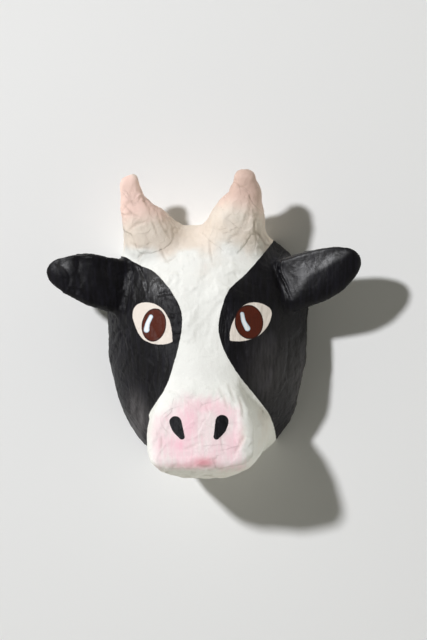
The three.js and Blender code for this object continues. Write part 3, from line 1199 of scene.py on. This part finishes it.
def colour(red: int, green: int, blue: int) -> Colour:
    """A colour as seen on a screen, 0 to 255, as the shader's own linear one.

    Args:
        red: Its red.
        green: Its green.
        blue: Its blue.

    Returns:
        The linear colour, with nothing seen through it.
    """
    parts = np.array([red, green, blue]) / 255.0
    linear = np.where(parts <= 0.04045, parts / 12.92, ((parts + 0.055) / 1.055) ** 2.4)
    return (*[float(x) for x in linear], 1.0)


def new_material(name: str) -> tuple[bpy.types.Material, Tree]:
    """Starts a material.

    Args:
        name: Its name.

    Returns:
        The material and its empty tree.
    """
    material = bpy.data.materials.new(name)
    material.use_nodes = True
    return material, Tree(material.node_tree)


class Effect(Enum):
    """The shared effects, each a node group."""

    PAPER_GRAIN = "paper grain"
    TORN_PAPER = "torn paper"
    BRUSH_STREAKS = "brush streaks"
    PAINTED_EDGE = "painted edge"


Effects = dict[Effect, bpy.types.NodeTree]


def new_group(effect: Effect, values: list[str], outputs: list[str]) -> tuple[Tree, Any]:
    """Starts a node group on a vector and some numbers.

    Args:
        effect: Which effect it is.
        values: The names of the numbers that it takes.
        outputs: The names of the numbers that it gives.

    Returns:
        The group's tree, and the sockets of what it takes.
    """
    group = bpy.data.node_groups.new(effect.value, "ShaderNodeTree")
    group.interface.new_socket("Vector", in_out="INPUT", socket_type="NodeSocketVector")
    for name in values:
        group.interface.new_socket(name, in_out="INPUT", socket_type="NodeSocketFloat")
    for name in outputs:
        group.interface.new_socket(name, in_out="OUTPUT", socket_type="NodeSocketFloat")
    tree = Tree(group)
    return tree, tree.add("NodeGroupInput").outputs


def paper_grain() -> bpy.types.NodeTree:
    """Builds the paper's grain: a coarse noise and a little of a fine one.

    Returns:
        The node group.
    """
    t, given = new_group(Effect.PAPER_GRAIN, ["Fine", "Coarse"], ["Height"])
    fine = t.noise(given["Vector"], given["Fine"], 4.0, 0.65)
    coarse = t.noise(given["Vector"], given["Coarse"], 3.0, 0.6)
    t.add("NodeGroupOutput", {"Height": t.plus(t.times(fine, 0.4), coarse)})
    return t.tree


def torn_paper() -> bpy.types.NodeTree:
    """Builds torn and crumpled sheets, and thin broken lines along their edges.

    Each of three sheets ends where a noise of its own passes its middle. The crumples are valleys
    where one more noise does.

    Returns:
        The node group.
    """
    t, given = new_group(Effect.TORN_PAPER, ["Size"], ["Height", "Edge"])
    layers = 0.0
    edges = 0.0
    for shift in (1.13, 0.49, 1.93):
        moved = t.vector("ADD", given["Vector"], (shift, shift, -shift))
        sheet = t.noise(moved, given["Size"], 1.0, 0.3)
        layers = t.plus(layers, t.ramp(sheet, 0.49, 0.51))
        gap = t.math("ABSOLUTE", t.minus(sheet, 0.5))
        edges = t.plus(edges, t.ramp(gap, 0.0, 0.01, 1.0, 0.0))
    crumpled = t.noise(given["Vector"], given["Size"])
    ridge = t.math("ABSOLUTE", t.minus(crumpled, 0.5))
    height = t.minus(layers, t.times(ridge, 1.6))
    broken = t.ramp(t.noise(given["Vector"], 115.0, 1.0), 0.54, 0.64)
    t.add("NodeGroupOutput", {"Height": height, "Edge": t.times(edges, broken)})
    return t.tree


def brush_streaks() -> bpy.types.NodeTree:
    """Builds brush streaks: a noise drawn out one way, on lines that a slower noise bends.

    Returns:
        The node group.
    """
    t, given = new_group(Effect.BRUSH_STREAKS, ["Across", "Along"], ["Value"])
    size = t.add(
        "ShaderNodeCombineXYZ", {"X": given["Across"], "Y": given["Along"], "Z": given["Along"]}
    )
    slow = t.add("ShaderNodeTexNoise", {"Vector": given["Vector"], "Scale": 14.0, "Detail": 1.0})
    wander = t.vector("MULTIPLY", slow.outputs["Color"], (0.012, 0.012, 0.012))
    drawn = t.vector("MULTIPLY", t.vector("ADD", given["Vector"], wander), size.outputs[0])
    t.add("NodeGroupOutput", {"Value": t.noise(drawn, 1.0, 3.0, 0.6)})
    return t.tree


def painted_edge() -> bpy.types.NodeTree:
    """Builds a brushed edge: the distance to it, with a wobble, as a share of its softness.

    Returns:
        The node group.
    """
    t, given = new_group(Effect.PAINTED_EDGE, ["Distance", "Wobble", "Softness"], ["Mask"])
    wave = t.minus(t.noise(given["Vector"], 160.0, 2.0), 0.5)
    moved = t.plus(given["Distance"], t.times(wave, given["Wobble"]))
    share = t.math("DIVIDE", moved, given["Softness"])
    t.add("NodeGroupOutput", {"Mask": t.plus(share, 0.5, clamp=True)})
    return t.tree


def build_effects() -> Effects:
    """Builds each shared effect once."""
    return {
        Effect.PAPER_GRAIN: paper_grain(),
        Effect.TORN_PAPER: torn_paper(),
        Effect.BRUSH_STREAKS: brush_streaks(),
        Effect.PAINTED_EDGE: painted_edge(),
    }


@dataclass(frozen=True)
class PaintedSkin:
    """The painted outside: matt whites, a pink nose, satin blacks and the painted eyes."""

    white: Colour = colour(239, 239, 234)
    cream: Colour = colour(231, 218, 204)
    horn_pink: Colour = colour(246, 214, 202)
    # painted shade: the right horn's tip, darker where it turns from the lamp
    shaded_horn_pink: Colour = colour(200, 172, 158)
    blush: Colour = colour(246, 192, 206)
    lip: Colour = colour(214, 132, 142)
    black: Colour = colour(17, 16, 18)
    brushed_black: Colour = colour(25, 24, 30)
    # partly worn paint, partly painted sheen
    wear_and_sheen_grey: Colour = colour(96, 93, 94)
    eye_white: Colour = colour(232, 222, 212)
    brown: Colour = colour(82, 34, 22)
    brown_rim: Colour = colour(50, 24, 20)
    glint: Colour = colour(240, 243, 246)
    glint_blue: Colour = colour(196, 214, 226)
    # painted shade for the folds, the cracks, the chin and the muzzle's left side
    painted_shade_tone: Colour = colour(150, 128, 106)
    matt: Span = (0.62, 0.76)  # each finish's roughness, between the brush streaks and on them
    eggshell: Span = (0.44, 0.54)
    satin: Span = (0.42, 0.5)

    def light_paint(self, t: Tree, place: Any, streak: Any, crack: Any) -> Any:
        """The whites and pinks, with painted shade in folds and cracks and on chin and muzzle.

        Args:
            t: The material's tree.
            place: Each point's place.
            streak: The brush streaks.
            crack: The torn edges, whose cracks are darkened as painted shade.

        Returns:
            The colour.
        """
        shift = t.ramp(t.noise(place, 28.0, 4.0, 0.6), 0.3, 0.7, -0.5, 0.5)
        # cream paint, with painted shade under the chin and on the muzzle's right side
        cream_and_shade = t.plus(t.attribute("cream_and_shade"), t.times(shift, 0.3))
        base = t.mix(t.ramp(cream_and_shade, 0.1, 1.0), self.white, self.cream)
        tip = t.plus(t.attribute("tip"), t.times(shift, 0.25))
        base = t.mix(t.ramp(tip, 0.1, 1.0), base, self.horn_pink)
        # painted shade on the right horn's tip
        base = t.mix(t.attribute("shaded_tip"), base, self.shaded_horn_pink)
        pink = t.plus(t.attribute("blush"), t.times(shift, 0.2))
        pink = t.plus(pink, t.times(t.minus(streak, 0.5), 0.5))
        base = t.mix(t.ramp(pink, 0.05, 1.1, 0.0, 0.95), base, self.blush)
        base = t.mix(t.times(t.attribute("lip"), 0.75), base, self.lip)
        # painted shade: darker in the folds' valleys and cracks, under the chin and on the muzzle's
        # left side
        painted_shade = t.plus(t.times(t.attribute("fold"), 0.3), t.times(crack, 0.14), clamp=True)
        return t.mix(painted_shade, base, self.painted_shade_tone)

    def dark_paint(self, t: Tree, streak: Any) -> Any:
        """The blacks: brushed, and greyer where the mesh says so, as worn paint and painted sheen.

        Args:
            t: The material's tree.
            streak: The brush streaks.

        Returns:
            The colour.
        """
        black = t.mix(t.ramp(streak, 0.35, 0.75), self.black, self.brushed_black)
        # lighter grey: partly worn paint, partly painted sheen
        lighter_grey_share = t.times(t.attribute("wear_and_sheen"), t.ramp(streak, 0.25, 0.7, 0.35, 1.0))
        return t.mix(lighter_grey_share, black, self.wear_and_sheen_grey)

    def material(self, effects: Effects) -> bpy.types.Material:
        """Builds the material.

        Args:
            effects: The shared node groups.

        Returns:
            The material.
        """
        material, t = new_material("painted_paper")
        place = t.place()

        def painted(name: str, wobble: float, softness: float) -> Any:
            """The mask of a painted shape."""
            return t.effect(
                effects[Effect.PAINTED_EDGE], Vector=place, Distance=t.attribute(name),
                Wobble=wobble, Softness=softness,
            )["Mask"]

        streaks = t.effect(effects[Effect.BRUSH_STREAKS], Vector=place, Across=260.0, Along=36.0)
        streak = streaks["Value"]
        large = t.effect(effects[Effect.TORN_PAPER], Vector=place, Size=17.0)
        small = t.effect(effects[Effect.TORN_PAPER], Vector=place, Size=48.0)
        grain = t.effect(effects[Effect.PAPER_GRAIN], Vector=place, Fine=900.0, Coarse=240.0)
        # the torn edges' cracks: sunk in the bump, and darkened in colour as painted shade
        crack = t.times(large["Edge"], t.attribute("rough"))
        dark = t.math("MAXIMUM", painted("patch", 1.2, 0.7), painted("nostril", 0.9, 0.6))

        base = self.light_paint(t, place, streak, crack)
        base = t.mix(dark, base, self.dark_paint(t, streak))
        base = t.mix(painted("eye", 0.8, 0.6), base, self.eye_white)
        brown = t.mix(t.ramp(t.attribute("iris"), 0.8, 1.8), self.brown_rim, self.brown)
        base = t.mix(painted("iris", 0.5, 0.6), base, brown)
        light = t.mix(t.ramp(t.attribute("glint"), 0.4, 1.6), self.glint_blue, self.glint)
        base = t.mix(painted("glint", 0.5, 0.5), base, light)

        gloss = t.attribute("gloss")
        matt, eggshell, satin = (
            t.ramp(streak, 0.2, 0.8, *finish) for finish in (self.matt, self.eggshell, self.satin)
        )
        roughness = t.blend(dark, matt, t.blend(gloss, eggshell, satin))
        shine = t.blend(dark, 0.35, t.blend(gloss, 0.13, 0.8))

        paper = t.plus(large["Height"], t.times(small["Height"], 0.3))
        paper = t.times(paper, t.blend(t.attribute("rough"), 0.14, 0.65))
        paper = t.minus(paper, t.times(crack, 0.3))
        paper = t.times(paper, t.blend(t.attribute("ear"), 1.0, 0.5))
        matt_black = t.times(dark, t.minus(1.0, gloss))
        strands = t.times(streak, t.blend(matt_black, 0.2, 0.9))
        strands = t.times(strands, t.blend(t.attribute("ear"), 1.0, 0.3))
        height = t.plus(paper, t.plus(t.times(grain["Height"], 0.3), strands))
        t.surface(
            Base_Color=base, Roughness=roughness, Normal=t.bump(0.8, 0.0014, height),
            Specular_IOR_Level=shine,
        )
        return material


@dataclass(frozen=True)
class BarePaper:
    """The unpainted inside and edge: grey-brown pasted paper."""

    light: Colour = colour(188, 178, 160)
    dark: Colour = colour(150, 139, 122)

    def material(self, effects: Effects) -> bpy.types.Material:
        """Builds the material.

        Args:
            effects: The shared node groups.

        Returns:
            The material.
        """
        material, t = new_material("bare_paper")
        place = t.place()
        patches = t.add(
            "ShaderNodeTexVoronoi", {"Vector": place, "Scale": 34.0, "Randomness": 1.0}
        )
        tone = t.plus(t.noise(place, 60.0, 5.0, 0.65), patches.outputs["Distance"])
        base = t.mix(t.ramp(tone, 0.5, 1.3), self.dark, self.light)
        grain = t.effect(effects[Effect.PAPER_GRAIN], Vector=place, Fine=700.0, Coarse=120.0)
        normal = t.bump(0.7, 0.0012, grain["Height"])
        t.surface(Base_Color=base, Roughness=0.85, Normal=normal)
        return material


# The head


def vertex_normals(points: Array, faces: Array) -> Array:
    """The mean direction of the faces around each point, weighted by their areas.

    Args:
        points: The points.
        faces: The four-sided faces.

    Returns:
        One direction of length 1 for each point.
    """
    a, b, c, d = (points[faces[:, k]] for k in range(4))
    facing = np.cross(c - a, d - b)
    normals = np.zeros_like(points)
    for k in range(4):
        for axis in range(3):
            normals[:, axis] += np.bincount(
                faces[:, k], weights=facing[:, axis], minlength=len(points)
            )
    return normals / np.maximum(np.linalg.norm(normals, axis=1), 1e-12)[:, None]


def outward(points: Array, faces: Array) -> Array:
    """The faces turned so that they point out, which makes the enclosed volume positive.

    Args:
        points: The points.
        faces: The four-sided faces, all turned the same way.

    Returns:
        The faces.
    """
    a, b, c, d = (points[faces[:, k]] for k in range(4))
    volume = np.einsum("ij,ij->", np.cross(a, b), c) + np.einsum("ij,ij->", np.cross(a, c), d)
    return faces if volume > 0.0 else faces[:, ::-1]


def plan_of(p: Array) -> Array:
    """Points on the paint plan: where the line from the viewing point meets the open back.

    Args:
        p: The points about the cheeks' middle.

    Returns:
        Their places on the plan.
    """
    x, y, height = EYE_POINT
    grow = height / (height - p[:, 2])
    return np.stack([x + (p[:, 0] - x) * grow, y + (p[:, 1] - y) * grow], axis=1)


def seen_from_front(normals: Array) -> Array:
    """How much the skin faces the viewer, from 0 where it turns away to 1."""
    return smoothstep(-0.1, 0.35, normals[:, 2])


def mesh_object(name: str, points: Array, faces: Array) -> bpy.types.Object:
    """Puts points and faces into a new object.

    Args:
        name: Its name.
        points: The points.
        faces: The four-sided faces.

    Returns:
        The object.
    """
    mesh = bpy.data.meshes.new(name)
    mesh.from_pydata(points.tolist(), [], faces.tolist())
    mesh.update()
    return placed(name, mesh)


def placed(name: str, data: Any) -> bpy.types.Object:
    """Puts a mesh, a lamp or a camera into the scene as an object.

    Args:
        name: The object's name.
        data: What it shows.

    Returns:
        The object.
    """
    thing = bpy.data.objects.new(name, data)
    bpy.context.scene.collection.objects.link(thing)
    return thing


def rows(items: Any, name: str) -> Array:
    """What each of a mesh's points or faces holds under a name.

    Args:
        items: The points or faces.
        name: The name.

    Returns:
        A row of three for each.
    """
    flat = np.zeros(len(items) * 3, np.float32)
    items.foreach_get(name, flat)
    return flat.reshape(-1, 3)


@dataclass
class CowHead:
    """The whole head: one pasted skin over all the forms, hollow behind."""

    wall: float = 4.0
    cheek_fillet: float = 7.0
    cheek_fillet_to: float = -130.0
    bridge_fillet: float = 26.0
    bridge_fillet_from: float = -70.0
    horn_fillet: float = 16.0
    left_ear_fillet: float = 11.0
    right_ear_fillet: float = 5.0
    hollow_fillet: float = 5.0
    bare_reach: float = 0.8  # a face this near the hollow's skin is bare paper
    rim_reach: float = 0.05  # and so is one this near the plane of the open back
    sharp_angle: float = 70.0
    head: Head = field(default_factory=Head)
    muzzle: Muzzle = field(default_factory=Muzzle)
    horns: dict[str, Horn] = field(default_factory=lambda: {
        "left_horn": Horn(
            [(-60, 50, 32), (-73, 83, 61), (-88, 112, 78), (-94.5, 144, 91)], 39.0, 11.0, 1.7),
        "right_horn": Horn(
            [(29, 50, 32), (34.5, 88, 68), (42, 118, 91), (44, 149, 107)], 42.0, 11.5, 1.1),
    })
    ears: dict[str, Ear] = field(default_factory=lambda: {
        "left_ear": Ear(
            [(-88, 12, 52), (-120, 18, 73), (-156, 27, 82), (-189, 33, 86)], 32.0, 0.1, 0.3, 1.5),
        "right_ear": Ear(
            [(84, 13, 66), (112, 22, 80), (144, 33, 87), (178, 48, 92)], 33.0, -0.65, 0.75, 1.5),
    })
    relief: Relief = field(default_factory=Relief)
    paint: Paint = field(default_factory=Paint)
    grid: Grid = field(default_factory=Grid)
    coarse: Grid = field(default_factory=lambda: Grid(COARSE))

    def forms(self) -> dict[str, Array]:
        """Each form's distance field by name."""
        sections = {
            "head": self.head.sections(0.0, 160, 60),
            "muzzle": self.muzzle.sections(0.0, 140, 40, 40),
            **{name: horn.sections() for name, horn in self.horns.items()},
            **{name: ear.sections() for name, ear in self.ears.items()},
        }
        return {name: self.grid.distances(rings) for name, rings in sections.items()}

    def outside(self, forms: dict[str, Array]) -> Array:
        """All forms as one distance field, with fillets where they meet.

        The muzzle's fillet grows from a crease at the cheeks to a long one at the bridge.

        Args:
            forms: Each form's distance field.

        Returns:
            The distance field of the whole.
        """
        y = (np.arange(self.grid.shape[1]) + self.grid.start[1]) * self.grid.voxel
        climb = smoothstep(self.cheek_fillet_to, self.bridge_fillet_from, y)
        blend = lerp(self.cheek_fillet, self.bridge_fillet, climb)[None, :, None]
        whole = merge(forms["head"], forms["muzzle"], blend)
        for name in self.horns:
            whole = merge(whole, forms[name], self.horn_fillet)
        whole = merge(whole, forms["left_ear"], self.left_ear_fillet)
        return merge(whole, forms["right_ear"], self.right_ear_fillet)

    def hollow(self) -> Array:
        """The inside, on the coarse grid: head and muzzle, less the wall.

        Returns:
            Its distance field.
        """
        head = self.coarse.distances(self.head.sections(self.wall, 96, 36))
        muzzle = self.coarse.distances(self.muzzle.sections(self.wall, 80, 20, 16))
        return merge(head, muzzle, self.hollow_fillet)

    def near(self, forms: dict[str, Array], points: Array) -> dict[str, Array]:
        """The distances from some points to each form."""
        return {name: self.grid.read(distances, points) for name, distances in forms.items()}

    def roughened(self, points: Array, faces: Array, forms: dict[str, Array]) -> Array:
        """The skin's points, moved along their normals by everything laid on by hand.

        Args:
            points: The smooth skin's points.
            faces: Its faces.
            forms: Each form's distance field.

        Returns:
            The moved points.
        """
        normals = vertex_normals(points, faces)
        near = self.near(forms, points)
        horn = touching(nearest(near, "horn"), HORN_REACH)
        ear = touching(nearest(near, "ear"), EAR_REACH)
        calm = 0.5 * touching(near["right_ear"], EAR_REACH)
        plan = plan_of(points)
        patch = smoothstep(-3.0, 3.0, deepest(PATCHES, plan))
        height = self.relief.skin(points, normals, patch, horn, ear) * (1.0 - calm)
        fold, _ = self.relief.folds(plan, seen_from_front(normals))
        height += fold + self.relief.flaps(points)
        keep_rim = smoothstep(-2.0, 6.0, points[:, 2])
        return points + normals * (height * lerp(0.6, 1.0, keep_rim))[:, None]

    def carved(self, points: Array, faces: Array, hollow: Array) -> bpy.types.Mesh:
        """The outside, less the hollow and everything below the plane of the open back.

        Args:
            points: The outside's points.
            faces: Its faces.
            hollow: The inside's distance field.

        Returns:
            The mesh, in millimetres about the cheeks' middle.
        """
        outer = mesh_object("skin", points, outward(points, faces))
        inner_points, inner_faces = self.coarse.skin(hollow)
        inner = mesh_object("hollow", inner_points, outward(inner_points, inner_faces))
        bpy.ops.mesh.primitive_cube_add(size=BLOCK, location=(0.0, 0.0, -BLOCK / 2.0))
        below = bpy.context.object
        for tool in (inner, below):
            cut = outer.modifiers.new(tool.name, "BOOLEAN")
            cut.operation = "DIFFERENCE"
            cut.solver = "MANIFOLD"
            cut.object = tool
        mesh = bpy.data.meshes.new_from_object(
            outer.evaluated_get(bpy.context.evaluated_depsgraph_get())
        )
        mesh.name = "cow_head_skin"
        for tool in (outer, inner, below):
            bpy.data.objects.remove(tool)
        return mesh

    def put_paint_values(self, mesh: bpy.types.Mesh, forms: dict[str, Array]) -> None:
        """Writes the paint's masks and tints on the mesh's points.

        Args:
            mesh: The carved mesh.
            forms: Each form's distance field.
        """
        p = rows(mesh.vertices, "co").astype(float)
        plan = plan_of(p)
        _, fold = self.relief.folds(plan, seen_from_front(rows(mesh.vertices, "normal")))
        for name, values in self.paint.masks(plan, p, self.near(forms, p), fold).items():
            mesh.attributes.new(name, "FLOAT", "POINT").data.foreach_set(
                "value", values.astype(np.float32)
            )

    def put_finishes(self, mesh: bpy.types.Mesh, hollow: Array, effects: Effects) -> None:
        """Gives the outside its paint, and the inside and the rim bare paper.

        Args:
            mesh: The carved mesh.
            hollow: The inside's distance field.
            effects: The shared node groups.
        """
        centres = rows(mesh.polygons, "center")
        facing = rows(mesh.polygons, "normal")
        inside = self.coarse.read(hollow, centres.astype(float)) < self.bare_reach
        rim = (centres[:, 2] < self.rim_reach) & (facing[:, 2] < -0.9)
        mesh.materials.clear()
        mesh.materials.append(PaintedSkin().material(effects))
        mesh.materials.append(BarePaper().material(effects))
        mesh.polygons.foreach_set("material_index", (inside | rim).astype(np.int32))

    def build(self, effects: Effects) -> bpy.types.Object:
        """Builds the head, dresses it and sets it on the frame.

        Args:
            effects: The shared node groups.

        Returns:
            The head's object.
        """
        forms = self.forms()
        points, faces = self.grid.skin(self.outside(forms))
        faces = outward(points, faces)
        hollow = self.hollow()
        mesh = self.carved(self.roughened(points, faces, forms), faces, hollow)
        self.put_paint_values(mesh, forms)
        self.put_finishes(mesh, hollow, effects)
        moved = (rows(mesh.vertices, "co").astype(float) + np.array([*CHEEKS, 0.0])) * MM
        mesh.vertices.foreach_set("co", moved.astype(np.float32).ravel())
        mesh.polygons.foreach_set("use_smooth", np.ones(len(mesh.polygons), bool))
        mesh.set_sharp_from_angle(angle=math.radians(self.sharp_angle))
        mesh.update()
        skin = placed("painted_head", mesh)
        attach(skin, "root")
        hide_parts("cow_head")
        return skin


# The stage


@dataclass
class Studio:
    """A pale floor, one soft lamp from the upper left, a pale room, and the camera above."""

    floor_size: float = 6.0
    floor_tone: Colour = colour(234, 234, 233)
    lamp_place: Point = (-1010.0, 645.0, 1620.0)  # about the cheeks' middle, mm
    lamp_size: float = 0.14
    lamp_power: float = 9.3
    lamp_colour: Point = (0.97, 0.975, 1.0)
    room_colour: Colour = (1.0, 0.99, 0.88, 1.0)
    horizon: float = 1.09
    overhead: float = 0.0
    brighter_right: float = 0.2  # how much the walls' light grows to the right
    brighter_down: float = 0.34  # and past the chin

    def build(self) -> None:
        """Builds the floor, the lamp, the room's light and the camera."""
        self.floor()
        self.lamp()
        self.room()
        self.camera()

    def floor(self) -> None:
        """A flat square under the head."""
        bpy.ops.mesh.primitive_plane_add(size=self.floor_size)
        floor = bpy.context.object
        floor.name = "floor"
        material, t = new_material("pale_floor")
        t.surface(Base_Color=self.floor_tone, Roughness=0.9)
        floor.data.materials.append(material)

    def lamp(self) -> None:
        """A small round soft lamp to the upper left, whose light hardly fades with distance."""
        light = bpy.data.lights.new("lamp", "AREA")
        light.shape = "DISK"
        light.size = self.lamp_size
        light.energy = self.lamp_power
        light.color = self.lamp_colour
        light.use_nodes = True
        t = Tree(light.node_tree)
        even = t.add("ShaderNodeLightFalloff", {"Strength": 1.0}).outputs["Constant"]
        glow = t.add("ShaderNodeEmission", {"Color": (1.0, 1.0, 1.0, 1.0), "Strength": even})
        t.add("ShaderNodeOutputLight", {"Surface": glow.outputs[0]})
        lamp = placed("lamp", light)
        lamp.location = Vector(in_frame(self.lamp_place))
        lamp.rotation_euler = lamp.location.to_track_quat("Z", "Y").to_euler()

    def room(self) -> None:
        """Light from all round: pale walls, brighter past the chin, and a dark ceiling."""
        world = bpy.data.worlds.new("room")
        world.use_nodes = True
        t = Tree(world.node_tree)
        way = t.add("ShaderNodeTexCoord").outputs["Generated"]
        axes = t.add("ShaderNodeSeparateXYZ", {"Vector": way}).outputs
        level = t.ramp(axes["Z"], 0.0, 0.8, self.horizon, self.overhead)
        right = t.times(axes["X"], self.brighter_right)
        lean = t.minus(right, t.times(axes["Y"], self.brighter_down))
        level = t.times(level, t.plus(lean, 1.0))
        back = t.add("ShaderNodeBackground", {"Color": self.room_colour, "Strength": level})
        t.add("ShaderNodeOutputWorld", {"Surface": back.outputs[0]})
        bpy.context.scene.world = world

    def camera(self) -> None:
        """The camera straight above, as the head is seen."""
        lens = bpy.data.cameras.new("camera")
        lens.lens = LENS
        lens.sensor_width = SENSOR
        lens.sensor_height = SENSOR
        lens.sensor_fit = "AUTO"
        camera = placed("camera", lens)
        camera.location = in_frame(EYE_POINT)
        bpy.context.scene.camera = camera
        bpy.context.scene.view_settings.view_transform = "Standard"


def in_frame(point: Point) -> list[float]:
    """A place about the cheeks' middle, in mm, as one in the part's frame, in metres."""
    return [(a + b) * MM for a, b in zip(point, (*CHEEKS, 0.0))]


def main() -> None:
    """Builds the stage and the head."""
    logging.basicConfig(level=logging.INFO, format="%(name)s: %(message)s")
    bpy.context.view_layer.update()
    Studio().build()
    head = CowHead().build(build_effects())
    mesh = head.data
    mesh.calc_loop_triangles()
    log.info(
        "%s: %d points, %d triangles", head.name, len(mesh.vertices), len(mesh.loop_triangles)
    )


if __name__ == "__main__":
    main()
